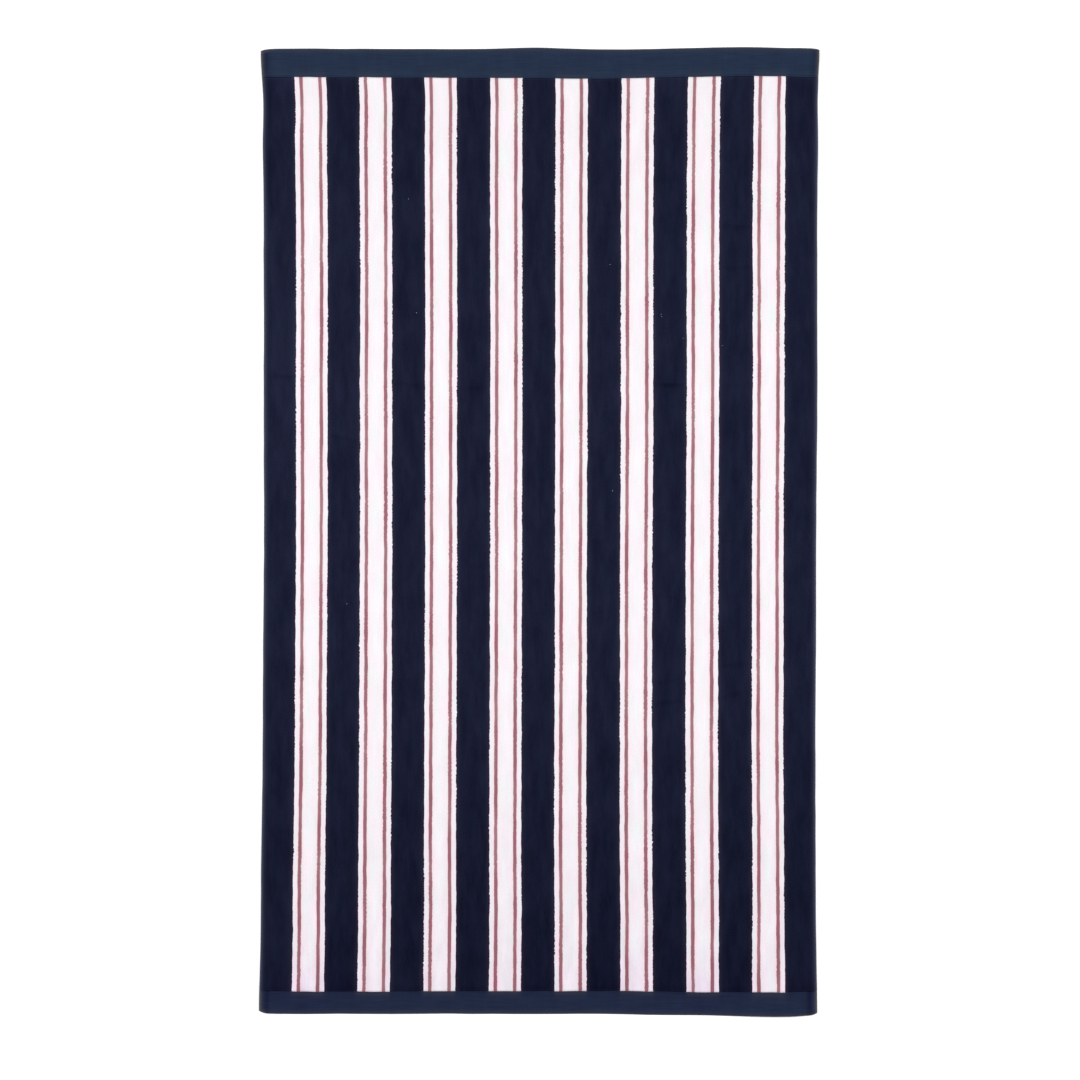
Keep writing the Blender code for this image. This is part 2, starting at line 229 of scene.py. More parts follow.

# %% [markdown]
# ## Creases
#
# The towel was kept folded in three, so faint creases cross it near each third of its length, and a few
# fainter ones lie between. In a deep pile a crease is a soft dark line where the tufts have parted; here it
# is a shallow trough, darkened further by painted shade. It is steep on its far side, where tufts stand up
# to it, and eases out slowly on its near side, where they lean away. Each crease gets its own row of
# stations, because it shows on one stripe and is gone on the next.

# %% Creases, millimetres
CREASE_POINTS = {
    "lower_third_near": (
        (-500, -318, 0), (-120, -314, 0.1), (190, -313, 0.1), (218, -311, 0.7), (234, -308, 0.9),
        (250, -307, 0.8), (268, -306, 0.1), (322, -301, 0.1), (335, -299, 0.5), (352, -294, 0.55),
        (371, -290, 0.5), (388, -288, 0.1), (500, -286, 0),
    ),
    "lower_third_far": (
        (-500, -264, 0), (-250, -268, 0.1), (200, -274, 0.1), (218, -273, 0.4), (234, -271, 0.5),
        (250, -270, 0.45), (268, -264, 0.05), (322, -243, 0.05), (335, -242, 0.5), (352, -241, 0.7),
        (371, -239, 0.7), (388, -238, 0.1), (500, -236, 0),
    ),
    "below_middle": (
        (-500, -112, 0), (200, -115, 0), (218, -116, 0.45), (234, -118, 0.4), (250, -121, 0.4),
        (268, -121, 0), (320, -117, 0), (335, -116, 0.3), (352, -116, 0.25), (372, -115, 0),
        (500, -110, 0),
    ),
    "middle": (
        (-500, -6, 0), (85, -15, 0), (100, -16.5, 0.42), (132, -15, 0.3), (150, -15, 0),
        (320, -16, 0), (335, -16.5, 0.42), (360, -16, 0.4), (380, -17, 0), (500, -18, 0),
    ),
    "above_middle": (
        (-500, 180, 0.05), (-390, 174, 0.1), (-374, 174, 0.95), (-355, 170, 0.6), (-337, 165.5, 0.5),
        (-318, 164, 0.05), (500, 150, 0),
    ),
    "upper_third": (
        (-500, 284, 0.4), (-462, 281, 1), (-440, 279.5, 0.9), (-420, 277, 0.1), (-275, 270, 0.1),
        (-253, 269.5, 0.45), (-237, 267, 0.45), (-221, 265.6, 0.55), (-200, 264, 0.1), (-140, 261, 0.4),
        (-100, 261, 0.5), (-80, 261, 0), (85, 262, 0), (100, 262, 0.25), (135, 262, 0.3),
        (150, 262, 0), (200, 265, 0.1), (218, 266, 0.75), (234, 266.5, 1.1), (260, 266, 1.1),
        (272, 266, 0.1), (320, 266, 0.1), (336, 266, 0.45), (370, 266, 0.35), (390, 266, 0),
        (500, 264, 0),
    ),
    "far_quarter_near": (
        (-500, 484, 0), (310, 480, 0), (335, 478, 0.4), (352, 478, 0.5), (372, 480, 0.65),
        (392, 481, 0.1), (500, 482, 0),
    ),
    "far_quarter": (
        (-500, 556, 0), (80, 552, 0), (100, 551, 0.4), (116, 550, 0.35), (132, 552, 0.25),
        (150, 553, 0), (318, 555, 0), (335, 555, 0.8), (352, 553, 0.7), (371, 552, 0.85),
        (390, 551, 0.1), (500, 548, 0),
    ),
    "far_quarter_far": (
        (-500, 584, 0), (80, 582, 0), (100, 581, 0.2), (116, 579, 0.3), (132, 577, 0.4),
        (150, 577, 0), (500, 576, 0),
    ),
}
CREASES = [table("across along depth", *points) for points in CREASE_POINTS.values()]
CREASE_STEEP = 2.4 * MM  # width of a crease's far wall
CREASE_SLOW = 6.5 * MM  # and of its near slope
CREASE_SHARE = 0.5  # the sheared tips of the pile part, but the ground weave hardly bends

# Short hollows, also painted darker as shade, and the small lighter lines where the folded layers of a
# corner show, painted paler as highlight and wear.
STROKES = table(
    "across along end_across end_along reach depth wear",
    (-490, 861, -493, 836, 5, 1.4, 0),
    (-502, 869, -486, 872, 1.6, 0, 0.9),
    (-503, -867, -491, -871, 1.6, 0, 0.9),
    (-501, -826, -499, -795, 3.2, 0.5, 0),
    (496, 863, 500, 841, 3.6, 0.9, 0),
    (215, 639, 266, 640, 3, 0.35, 0),
    (-489, 808, -489, 712, 5, 0.75, 0),
    (-489, 690, -489, 585, 5, 0.45, 0),
    (467, 788, 487, 741, 5, -0.55, 0),
    (486, 812, 491, 752, 4, 0.6, 0),
    (489, 716, 493, 612, 3.5, -0.5, 0),
    (486, 700, 488, 560, 3.5, 0.35, 0),
    (-484, 560, -483, 300, 9, -0.6, 0),
)
print(len(CREASES), "creases and", len(STROKES), "short strokes")

# %% [markdown]
# ## Smooth curves and soft unevenness
#
# Two helpers read tables of stations. One draws a smooth curve through a column, as a draughtsman would
# with a flexible rule. The other eases from point to point of a hem's section. A third reads a table of
# places, each at its full value in its middle and faded out around it. The last makes soft random
# unevenness from a small grid of numbers with a fixed seed, so that it is the same each time.


# %% Helpers that read the tables
def ease(share):
    """A share from 0 to 1, levelled out at both ends."""
    return share * share * (3 - 2 * share)


def curve(points, key, column, at):
    """A smooth curve through one column of a table, read at the places given, in metres."""
    stations = np.array([getattr(point, key) for point in points]) * MM
    values = np.array([getattr(point, column) for point in points]) * MM
    slopes = np.gradient(values, stations)
    at = np.clip(at, stations[0], stations[-1])
    row = np.clip(np.searchsorted(stations, at) - 1, 0, len(points) - 2)
    span = stations[row + 1] - stations[row]
    t = (at - stations[row]) / span
    bend = t * (1 - t) * span * ((1 - t) * slopes[row] - t * slopes[row + 1])
    return values[row] + ease(t) * (values[row + 1] - values[row]) + bend


def eased(points, key, column, at):
    """One column of a hem's or a seam's section, flat at each of its points."""
    stations = np.array([getattr(point, key) for point in points]) * MM
    values = np.array([getattr(point, column) for point in points])
    row = np.clip(np.searchsorted(stations, at) - 1, 0, len(points) - 2)
    t = np.clip((at - stations[row]) / (stations[row + 1] - stations[row]), 0, 1)
    return values[row] + ease(t) * (values[row + 1] - values[row])


def around(places, column, across, along):
    """One column of a table of places, each faded out over its own reach, and added up."""
    total = np.zeros(np.shape(across))
    for place in places:
        distance = np.hypot((across / MM - place.across) / place.reach_across,
                            (along / MM - place.along) / place.reach_along)
        total = total + getattr(place, column) * np.exp(-(distance**2))
    return total


print("hem crest", max(point.rise for point in SIDE_HEM), "mm above plain cloth")

# %% Soft unevenness, millimetres, but for the pull, which is a share of a hem's rise
RAGGED_PILE, HEM_PULL, BROAD_SWELLS, FINE_SWELLS, SIDE_WAVER, END_WAVER = table(
    "strength patch_across patch_along seed",
    (0.4, 15, 100, 2), (0.4, 60, 13, 3), (0.16, 48, 60, 5), (0.09, 17, 24, 6),
    (0.35, 250, 34, 11), (0.3, 40, 400, 12),
)


def unevenness(kind, across, along):
    """Soft random swellings, as strong as the kind says and about one of its patches apart."""
    patch_across, patch_along = kind.patch_across * MM, kind.patch_along * MM
    columns = int(np.ceil(WIDTH / patch_across)) + 3  # a margin of a patch or two lies around the cloth
    rows = int(np.ceil(LENGTH / patch_along)) + 3
    heights = np.random.default_rng(kind.seed).uniform(-1, 1, (rows, columns))
    x = np.clip((across + WIDTH / 2) / patch_across + 0.5, 0, columns - 1.001)
    y = np.clip((along + LENGTH / 2) / patch_along + 0.5, 0, rows - 1.001)
    i, j = x.astype(int), y.astype(int)
    s, t = ease(x - i), ease(y - j)
    near = heights[j, i] * (1 - s) + heights[j, i + 1] * s
    far = heights[j + 1, i] * (1 - s) + heights[j + 1, i + 1] * s
    return kind.strength * (near * (1 - t) + far * t)


print("broad swells up to", BROAD_SWELLS.strength, "mm")

# %% [markdown]
# ## The form of the cloth
#
# The form has five parts, each a function of the flat coordinates. The thickness changes from pile to
# heading and at the hems. The creases are taken out of it. The stitching pulls the back up a little. The
# lift raises the underside where an edge stands off the ground. Last, the layout moves each point sideways
# to where it really lies, and takes the stripes along with it. One function, settle, puts the five
# together for any place on the cloth, so that the sheet and everything sewn into it agree.


# %% Functions for the form
def pile_end(end, across):
    """Where the pile stops at the near or the far heading: nearly straight, and a little ragged."""
    line, inwards = {"near": (NEAR_LINE, 1), "far": (FAR_LINE, -1)}[end]
    ragged = unevenness(RAGGED_PILE, across, line + 0 * across) * MM
    return line + inwards * curve(PILE_STOPS, "across", end, across) + ragged


def outside_pile(across, along):
    """How far a place is past the nearer end of the pile, and less than nought within it."""
    return np.maximum(pile_end("near", across) - along, along - pile_end("far", across))


def stroked(across, along, column):
    """One column of the short strokes, at its full value on each stroke and faded out beside it."""
    total = np.zeros(np.shape(across))
    for stroke in STROKES:
        run_x, run_y = stroke.end_across - stroke.across, stroke.end_along - stroke.along
        from_x, from_y = across / MM - stroke.across, along / MM - stroke.along
        share = np.clip((from_x * run_x + from_y * run_y) / (run_x**2 + run_y**2), 0, 1)
        distance = np.hypot(from_x - share * run_x, from_y - share * run_y)
        total = total + getattr(stroke, column) * np.exp(-((distance / stroke.reach) ** 2))
    return total


def creasing(across, along):
    """How deep the pile is parted, in millimetres."""
    depth = stroked(across, along, "depth")
    for crease in CREASES:
        offset = along - curve(crease, "across", "along", across)
        width = np.where(offset > 0, CREASE_STEEP, CREASE_SLOW)
        depth = depth + eased(crease, "across", "depth", across) * np.exp(-((offset / width) ** 2))
    return depth


def thickness(across, along):
    """The plain cloth, its turned hems, its end seams and its soft unevenness."""
    outside = outside_pile(across, along)
    pile_share = np.clip(0.5 - outside / PILE_STEP, 0, 1)
    cloth = HEADING_THICK + (PILE_THICK - HEADING_THICK) * ease(pile_share)
    pull = 1 + unevenness(HEM_PULL, across, along)
    sides = eased(SIDE_HEM, "inset", "rise", WIDTH / 2 - np.abs(across)) * MM * pull
    ends = eased(END_HEM, "inset", "rise", LENGTH / 2 - np.abs(along)) * MM
    seams = eased(END_SEAM, "outside", "rise", outside) * MM
    swells = unevenness(BROAD_SWELLS, across, along) + unevenness(FINE_SWELLS, across, along)
    return cloth + sides + ends + seams + swells * MM


def pulled_up(across, along):
    """How far the stitching pulls the back of the cloth up, and nought at the rim."""
    sides = eased(SIDE_HEM, "inset", "under", WIDTH / 2 - np.abs(across)) * MM
    seams = eased(END_SEAM, "outside", "under", outside_pile(across, along)) * MM
    end_rim = np.clip((LENGTH / 2 - np.abs(along)) / RIM_BACK, 0, 1)
    side_rim = np.clip((WIDTH / 2 - np.abs(across)) / RIM_BACK, 0, 1)
    return np.maximum(sides, seams) * end_rim * side_rim


def lift(across, along):
    """Height of the underside above the ground, exactly nought where the towel lies flat."""
    height = np.zeros(np.shape(across))
    for place in LIFTS:
        offset_across = (across - place.across * MM) / (place.reach_across * MM)
        offset_along = (along - place.along * MM) / (place.reach_along * MM)
        distance = np.minimum(np.hypot(offset_across, offset_along), 1.0)
        height += place.height * MM * np.cos(distance * np.pi / 2) ** 2 * (distance < 1.0)
    return height


def lay_out(across, along):
    """The cloth's flat coordinates taken to the ground, with its uneven edges and stripes."""
    share = across / WIDTH + 0.5
    left = -WIDTH / 2 - curve(SIDES, "along", "left", along)
    right = WIDTH / 2 + curve(SIDES, "along", "right", along)
    x = left + share * (right - left) + curve(STRIPE_DRIFT, "across", "shift", across)
    x = x + np.interp(across, RUN_PLACES, RUN_SHARES) * curve(STRIPE_RUN, "along", "shift", along)
    x = x + (around(SWAYS, "shift", across, along) + unevenness(SIDE_WAVER, across, along)) * MM

    near_share = np.clip((END_SHIFT_REACH - LENGTH / 2 - along) / END_SHIFT_REACH, 0, 1)
    far_share = np.clip((along - LENGTH / 2 + END_SHIFT_REACH) / END_SHIFT_REACH, 0, 1)
    y = along - near_share * curve(ENDS, "across", "near", across)
    y = y + far_share * curve(ENDS, "across", "far", across)
    return x, y + unevenness(END_WAVER, across, along) * MM


def settle(across, along, rise):
    """Places on the ground, for flat coordinates and a rise from 0, the back, to 1, the face."""
    x, y = lay_out(across, along)
    back = pulled_up(across, along)
    face = thickness(across, along) - CREASE_SHARE * creasing(across, along) * MM
    face = np.maximum(face, back + THINNEST)
    return np.stack([x, y, lift(across, along) + back * (1 - rise) + face * rise], axis=-1)


print("middle of the towel settles at", settle(np.zeros(1), np.zeros(1), 1.0)[0].round(4))

# %% [markdown]
# ## Lines of the sheet
#
# The sheet is a grid, but not an even one. It needs close lines where the form turns quickly, at the
# hems, at the edge of the pile and along each crease, and it can do with wide ones elsewhere. The rows
# beside a crease bend to follow it, so that a thin crease doesn't need a fine mesh everywhere.


# %% Rows and columns of the sheet
HEM_INSETS = np.array([1.2, 2.2, 3.6, 5.2, 6.8, 8.2, 9.2, 9.8, 10.6, 11.8, 13.4, 16.0, 20.0]) * MM
END_INSETS = np.array([1.2, 2.2, 3.2, 5.0, 8.0, 12.0]) * MM
SEAM_OFFSETS = np.array([11.0, 7.0, 5.6, 4.2, 3.0, 1.2, 0.4, -0.4, -1.2, -3.0]) * MM  # outside the pile
CREASE_OFFSETS = np.array([-12.0, -8.0, -5.0, -2.5, 0.0, 1.4, 2.8, 4.8]) * MM
MIDDLE_COLUMNS = 128
ROW_SPACING = 9.4 * MM

middle_start = HEM_INSETS[-1] - WIDTH / 2
middle = np.linspace(middle_start, -middle_start, MIDDLE_COLUMNS + 2)[1:-1]
columns = np.concatenate([HEM_INSETS - WIDTH / 2, middle, WIDTH / 2 - HEM_INSETS[::-1]])

level = np.zeros(len(columns))
guides = [level + inset - LENGTH / 2 for inset in END_INSETS]
guides += [pile_end("near", columns) - offset for offset in SEAM_OFFSETS]
for crease in CREASES:
    guides += [curve(crease, "across", "along", columns) + offset for offset in CREASE_OFFSETS]
guides += [pile_end("far", columns) + offset for offset in SEAM_OFFSETS[::-1]]
guides += [level + LENGTH / 2 - inset for inset in END_INSETS[::-1]]

rows = [guides[0]]
for start, stop in zip(guides, guides[1:]):
    steps = int(np.ceil((stop - start).mean() / ROW_SPACING))
    rows += [start + (stop - start) * step / steps for step in range(1, steps + 1)]
rows = np.array(rows)
print(rows.shape[0], "rows by", rows.shape[1], "columns")

# %% [markdown]
# ## The sheet itself
#
# The mesh starts as Blender's own grid. Every point is given its place on the flat cloth as an attribute
# before anything else, because an attribute is carried along and blended by each tool that follows. The
# grid is then extruded into a closed sheet, and the walls around it are subdivided so that the rim can be
# round. Only then does each point take its real place. The alternative, a thin sheet with a Solidify
# modifier, gives one even thickness and a square rim, which a turned hem doesn't have.


# %% Helpers for a mesh
def read(items, name, kind, width=1):
    """One property of all the points, edges, faces or corners of a mesh, with so many numbers to each."""
    values = np.empty(len(items) * width, kind)
    items.foreach_get(name, values)
    return values.reshape(-1, width) if width > 1 else values


def mode(name):
    """Goes into edit mode, or back to object mode."""
    bpy.ops.object.mode_set(mode=name)


def deselect_all():
    bpy.ops.object.select_all(action="DESELECT")


def smooth(piece):
    """Smooth shading on one object, which is left selected and active."""
    deselect_all()
    piece.select_set(True)
    bpy.context.view_layer.objects.active = piece
    bpy.ops.object.shade_smooth()


# %% Grid, extrusion and rim
deselect_all()
bpy.ops.mesh.primitive_grid_add(x_subdivisions=rows.shape[1] - 1, y_subdivisions=rows.shape[0] - 1, size=1)
cloth = bpy.context.object
cloth.name = cloth.data.name = "towel_cloth"

grid = read(cloth.data.vertices, "co", np.float32, 3)
column = np.rint((grid[:, 0] + 0.5) * (rows.shape[1] - 1)).astype(int)
row = np.rint((grid[:, 1] + 0.5) * (rows.shape[0] - 1)).astype(int)
flat = np.stack([columns[column], rows[row, column], np.zeros(len(row))], axis=1)
cloth.data.attributes.new("flat", "FLOAT_VECTOR", "POINT").data.foreach_set("vector", flat.ravel())

mode("EDIT")
bpy.ops.mesh.select_all(action="SELECT")
bpy.ops.mesh.extrude_region_move(TRANSFORM_OT_translate={"value": (0, 0, PILE_THICK)})
mode("OBJECT")

raised = read(cloth.data.vertices, "select", bool)
flat = read(cloth.data.attributes["flat"].data, "vector", np.float32, 3)
flat[:, 2] = raised
cloth.data.attributes["flat"].data.foreach_set("vector", flat.ravel())

edge_ends = raised[read(cloth.data.edges, "vertices", int, 2)]
upright = edge_ends[:, 0] != edge_ends[:, 1]
mode("EDIT")
bpy.ops.mesh.select_mode(type="EDGE")
bpy.ops.mesh.select_all(action="DESELECT")
mode("OBJECT")
cloth.data.edges.foreach_set("select", upright)
mode("EDIT")
bpy.ops.mesh.subdivide(number_cuts=3)
mode("OBJECT")
print(len(cloth.data.vertices), "points,", len(cloth.data.polygons), "faces, wall edges", upright.sum())

# %% [markdown]
# ## Every point to its place
#
# A point's third coordinate says how high it is between the back, 0, and the face, 1. Points between the
# two are on the wall, and they bulge outwards in a half round, as a folded edge does. The towel's origin
# is the middle of its outline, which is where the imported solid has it.

# %% Laying the cloth
across, along, rise = read(cloth.data.attributes["flat"].data, "vector", np.float32, 3).astype(float).T
bulge = RIM * np.sqrt(np.clip(1 - (2 * rise - 1) ** 2, 0, 1))
across = across * (1 + bulge / (WIDTH / 2 - RIM))
along = along * (1 + bulge / (LENGTH / 2 - RIM))
places = settle(across, along, rise)

outline_middle = (places.min(axis=0) + places.max(axis=0)) / 2 * (1, 1, 0)
places = places - outline_middle
cloth.data.vertices.foreach_set("co", places.astype(np.float32).ravel())
cloth.data.update()
smooth(cloth)
print("cloth's box", places.min(axis=0).round(4), places.max(axis=0).round(4))

# %% [markdown]
# ## Maps for the finishes
#
# The stripes belong to the cloth and not to the space around it, so their pattern reads a UV map that
# holds the flat coordinates in metres. Four attributes hold what depends on the form and on use, with
# painted light and shade. The first is the lay of the yarn with painted shade: lighter where a hand has
# brushed the tufts up, painted darker in the creases and towards both ends, and painted lighter and darker
# on the hems' crests and grooves and beside the ends of the pile. The second is the paler folds, partly
# wear and partly a painted highlight. The third is a painted shade, greyer and a little lilac, towards the
# near end, which shows most on the white. The last is how much fuller the red lines are towards the near
# end.

# %% Painted shade along the towel as a share of the pile's depth of colour, near-end shade and red lines
PILE_SHADE_AND_RED_LINES = table(
    "along lay dull fuller",
    (-875, -0.40, 1.3, 0.22), (-812, -0.38, 1, 0.22), (-777, -0.35, 0.8, 0.22),
    (-722, -0.30, 0.5, 0.24), (-622, -0.22, 0.3, 0.26), (-432, -0.12, 0.1, 0.20),
    (-305, -0.03, 0, 0.05), (-200, 0, 0, 0), (600, 0, 0, -0.07),
    (745, -0.04, 0, -0.07), (800, -0.12, 0, -0.07), (875, -0.06, 0, -0.07),
)
# Patches where the near end is painted greyer still, more of the same painted shade.
END_SHADE_PLACES = table(
    "across along reach_across reach_along dull",
    (-420, -850, 55, 55, 1.6),
    (175, -805, 50, 50, 0.7),
    (295, -845, 45, 45, 1.4),
)
BRUSHED_PLACES = table(
    "across along reach_across reach_along lay",
    (-461, 808, 36, 34, 0.36),
    (-461, 300, 34, 190, 0.32),
    (-354, 540, 34, 90, 0.14),
    (-354, 250, 34, 90, 0.14),
    (118, 255, 34, 80, 0.15),
    (237, 808, 36, 30, 0.28),
    (356, 804, 36, 36, 0.27),
    (-464, -770, 34, 125, 0.28),
    (-360, -670, 30, 45, 0.2),
    (-240, -815, 34, 26, 0.36),
    (-120, -810, 34, 30, 0.18),
    (237, -812, 34, 26, 0.13),
    (472, -765, 34, 55, 0.22),
)
CREASE_SHADE = 0.25  # painted shade for each millimetre of crease
NEAR_TIP_WEAR, FAR_TIP_WEAR = 1.5, 1.0  # paler weave beside a light stripe, where white tips lie over it
TIP_REACH = 5.5 * MM
TIPS_END = 32 * MM  # how far from a light stripe's middle its tips still lie
TIPS_FADE = 5 * MM
print(len(END_SHADE_PLACES), "dull places and", len(BRUSHED_PLACES), "brushed ones")

# %% Maps of the lay and painted shade, the folds' wear and painted highlight, near-end shade and red lines
side_inset = WIDTH / 2 - np.abs(across)
end_inset = LENGTH / 2 - np.abs(along)
outside = outside_pile(across, along)
on_face = rise > 0.5
# Painted highlight and painted shade on the hems' crests and grooves and beside the ends of the pile.
near_lay, far_lay = (eased(SIDE_HEM, "inset", column, side_inset) for column in ("near_lay", "far_lay"))
hem_shading = np.where(outside < 0, eased(SIDE_HEM, "inset", "pile_lay", side_inset),
                   np.where(along < 0, near_lay, far_lay))
near_seam_shading, far_seam_shading = (eased(END_SEAM, "outside", column, outside) for column in ("near_lay", "far_lay"))
# Painted shade towards both ends of the towel, added to the hems' and seams' painted light and shade.
lay = eased(PILE_SHADE_AND_RED_LINES, "along", "lay", along) + hem_shading + np.where(along < 0, near_seam_shading, far_seam_shading)
brushed = around(BRUSHED_PLACES, "lay", across, along) * (outside < 0)
# The brushed places, lighter, and painted shade in the creases and short hollows, on the face only.
lay = lay + (brushed - CREASE_SHADE * creasing(across, along)) * on_face

from_stripe = np.abs(np.mod(across, STRIPE_PITCH) - STRIPE_PITCH / 2)
beside_white = np.clip((TIPS_END - from_stripe) / TIPS_FADE, 0, 1) * (outside > 0) * on_face
# The folds are painted paler: partly wear, and partly a painted highlight where they round over.
wear = np.maximum(eased(SIDE_HEM, "inset", "wear", side_inset), eased(END_HEM, "inset", "wear", end_inset))
wear = wear + stroked(across, along, "wear") * on_face
tip_wear = np.where(along < 0, NEAR_TIP_WEAR, FAR_TIP_WEAR)
wear = wear + tip_wear * beside_white * np.exp(-np.maximum(outside, 0) / TIP_REACH)

# Painted shade, greyer and a little lilac, towards the near end and in a few patches there.
dull = eased(PILE_SHADE_AND_RED_LINES, "along", "dull", along) + around(END_SHADE_PLACES, "dull", across, along)
fuller = eased(PILE_SHADE_AND_RED_LINES, "along", "fuller", along)
for name, values in (("lay", lay), ("wear", wear), ("dull", dull), ("fuller", fuller)):
    attribute = cloth.data.attributes.new(name, "FLOAT", "POINT")
    attribute.data.foreach_set("value", values.astype(np.float32))
print("lay from", lay.min().round(2), "to", lay.max().round(2), "and wear up to", wear.max().round(2))

# %% Map of the flat cloth
corners = read(cloth.data.loops, "vertex_index", int)
for layer in list(cloth.data.uv_layers):
    cloth.data.uv_layers.remove(layer)
cloth_map = cloth.data.uv_layers.new(name="cloth")
cloth_map.uv.foreach_set("vector", np.stack([across, along], axis=1)[corners].astype(np.float32).ravel())
cloth.data.attributes.remove(cloth.data.attributes["flat"])
print("map of", len(corners), "corners")

# %% [markdown]
# ## Sewing
#
# A hem is held by a row of lock stitches in thread that matches the cloth. Each stitch is a short float
# of thread that dives into the cloth at both ends. It is modelled once, as a slim cylinder cut into
# lengths, with its ends bent down. Thousands of them follow the hems, and each copy is bent to the cloth
# under it, so that none stands off the rolled hem. They are joined into one mesh for each side of the
# cloth, made from arrays, because thousands of separate objects would be slow and hard to handle.

# %% One stitch
STITCH_LENGTH = 3.0 * MM
STITCH_PITCH = 3.8 * MM
THREAD = 0.5 * MM
STITCH_STAND = 0.15 * MM
STITCH_DIVE = 0.7 * MM
STITCH_CUTS = (-0.3, 0.0, 0.3)  # as shares of its length, where it can bend

deselect_all()
bpy.ops.mesh.primitive_cylinder_add(vertices=5, radius=THREAD / 2, depth=STITCH_LENGTH,
                                    rotation=(np.pi / 2, 0, 0))
stitch = bpy.context.object
bpy.ops.object.transform_apply(location=False, rotation=True, scale=False)
mode("EDIT")
for share in STITCH_CUTS:
    bpy.ops.mesh.select_all(action="SELECT")
    bpy.ops.mesh.bisect(plane_co=(0, share * STITCH_LENGTH, 0), plane_no=(0, 1, 0))
mode("OBJECT")
for point in stitch.data.vertices:
    point.co.z += STITCH_STAND - STITCH_DIVE * abs(2 * point.co.y / STITCH_LENGTH) ** 4
print("stitch has", len(stitch.data.vertices), "points and", len(stitch.data.polygons), "faces")


# %% Copies of a small piece, bent to the cloth
def set_in_cloth(name, master, across, along, turn, rise, size=1.0):
    """One joined mesh of a small piece copied to many places, turned about the upright axis."""
    x, y, z = read(master.data.vertices, "co", np.float32, 3).T[:, None] * np.reshape(size, (-1, 1))
    cosine, sine = np.cos(turn)[:, None], np.sin(turn)[:, None]
    placed = settle(across[:, None] + cosine * x - sine * y, along[:, None] + sine * x + cosine * y, rise)
    placed = placed - outline_middle
    placed[..., 2] += z if rise > 0.5 else -z
    faces = [list(polygon.vertices) for polygon in master.data.polygons]
    if rise < 0.5:
        faces = [face[::-1] for face in faces]
    starts = np.arange(placed.shape[0]) * placed.shape[1]
    faces = [[corner + start for corner in face] for start in starts.tolist() for face in faces]
    mesh = bpy.data.meshes.new(name)
    mesh.from_pydata(placed.reshape(-1, 3).tolist(), [], faces)
    piece = bpy.data.objects.new(name, mesh)
    bpy.context.scene.collection.objects.link(piece)
    smooth(piece)
    return piece


# %% Stitches along the four hems
SIDE_START, END_START = 5 * MM, 4 * MM  # the first and last stitch, in from the corners
TURN_SWAY = 0.05  # radians
PLACE_SWAY = 0.08 * MM

side_run = np.arange(SIDE_START - LENGTH / 2, LENGTH / 2 - SIDE_START, STITCH_PITCH)
end_run = np.arange(END_START - WIDTH / 2, WIDTH / 2 - END_START, STITCH_PITCH)
left_run = SIDE_STITCHES - WIDTH / 2 + 0 * side_run
stitch_across = np.concatenate([left_run, -left_run, end_run, end_run])
stitch_along = np.concatenate([side_run, side_run, pile_end("near", end_run) - END_STITCHES,
                               pile_end("far", end_run) + END_STITCHES])
stitch_turn = np.repeat([0.0, np.pi / 2], [2 * len(side_run), 2 * len(end_run)])
sway = np.random.default_rng(21)
stitch_turn = stitch_turn + sway.normal(0, TURN_SWAY, len(stitch_turn))
stitch_across = stitch_across + sway.normal(0, PLACE_SWAY, len(stitch_turn))

stitches_face = set_in_cloth("hem_stitches_face", stitch, stitch_across, stitch_along, stitch_turn, 1.0)
stitches_back = set_in_cloth("hem_stitches_back", stitch, stitch_across, stitch_along, stitch_turn, 0.0)
bpy.data.objects.remove(stitch)
print(len(stitch_turn), "stitches on each side,", len(stitches_face.data.polygons), "faces each")

# %% [markdown]
# ## Pulled loops
#
# Here and there a loop of white yarn has been pulled through and stands on the navy as a small speck. One
# such loop is half a ring of yarn, and it is set at each place where the towel has one.

# %% Loops that have been pulled up, millimetres and degrees
PULLED_LOOPS = table(
    "across along turn size",
    (-237, 602, 20, 1.15), (129, 483, 75, 1.2), (-223, 396, -30, 1.3),
    (221, 393, 35, 1), (222, 389, -25, 0.9), (261, 350, 50, 1),
    (331, 336, -60, 1), (134, 73, 35, 1.15), (-349, -131, -15, 1),
)
LOOP_RADIUS = 0.65 * MM
YARN_RADIUS = 0.22 * MM
LOOP_CUT = 0.4 * MM  # how far below its middle the ring is cut off, inside the cloth
CUT_TOLERANCE = 0.001 * MM  # far finer than the yarn, so that the cut merges nothing else

deselect_all()
bpy.ops.mesh.primitive_torus_add(major_segments=12, minor_segments=5, major_radius=LOOP_RADIUS,
                                 minor_radius=YARN_RADIUS, rotation=(np.pi / 2, 0, 0))
loop = bpy.context.object
bpy.ops.object.transform_apply(location=False, rotation=True, scale=False)
mode("EDIT")
bpy.ops.mesh.select_all(action="SELECT")
bpy.ops.mesh.bisect(plane_co=(0, 0, -LOOP_CUT), plane_no=(0, 0, 1), clear_inner=True, use_fill=True,
                    threshold=CUT_TOLERANCE)
mode("OBJECT")
loop_across, loop_along, loop_turn, loop_size = np.array(PULLED_LOOPS).T
pulled = set_in_cloth("pulled_white_loops", loop, loop_across * MM, loop_along * MM, np.radians(loop_turn),
                      1.0, size=loop_size)
bpy.data.objects.remove(loop)
print(len(PULLED_LOOPS), "pulled loops")

# %% [markdown]
# ## Colours and nodes
#
# Colours are written as the sRGB hex values that a colour picker shows, and one function turns them into
# the linear values that Blender's light is worked out in. Another adds a node with its settings and links,
# so that a material reads as a list of what it is made of.


# %% Helpers for the finishes
def linear(hex_colour):
    """An sRGB hex colour as linear red, green, blue and alpha."""
    parts = [int(hex_colour[i : i + 2], 16) / 255 for i in (1, 3, 5)]
    return [c / 12.92 if c <= 0.04045 else ((c + 0.055) / 1.055) ** 2.4 for c in parts] + [1.0]


